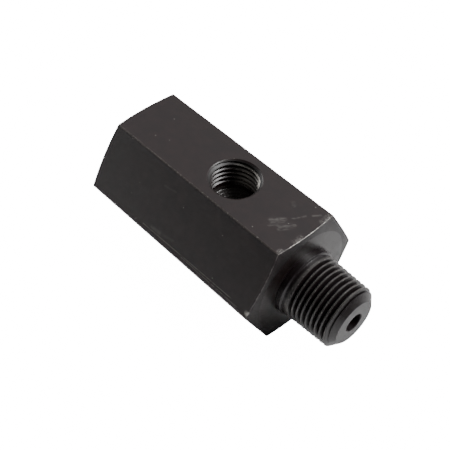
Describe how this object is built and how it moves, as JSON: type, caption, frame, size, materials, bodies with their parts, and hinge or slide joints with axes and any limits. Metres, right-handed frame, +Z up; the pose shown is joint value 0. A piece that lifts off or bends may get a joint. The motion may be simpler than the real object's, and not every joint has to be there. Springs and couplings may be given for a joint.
{
  "type": "pressure gauge adapter",
  "caption": "Hexagonal steel adapter block that taps a gauge into a hydraulic line, with a male taper-thread end, a female feed port in the opposite end and a threaded gauge port through one flat.",
  "frame": {"origin": "centre of the footprint, on the ground under the flat the adapter rests on", "axes": "+X runs along the bar and out through the male end, +Z points up and out of the gauge port, and +Y points sideways at one corner of the hexagon"},
  "size_m": [0.075, 0.0366, 0.0318],
  "materials": {
    "blackened_steel": "black oxide over turned and drawn steel, satin, rubbed bright along the edges"
  },
  "bodies": {
    "root": {"adapter_body": "blackened_steel"}
  },
  "joints": []
}
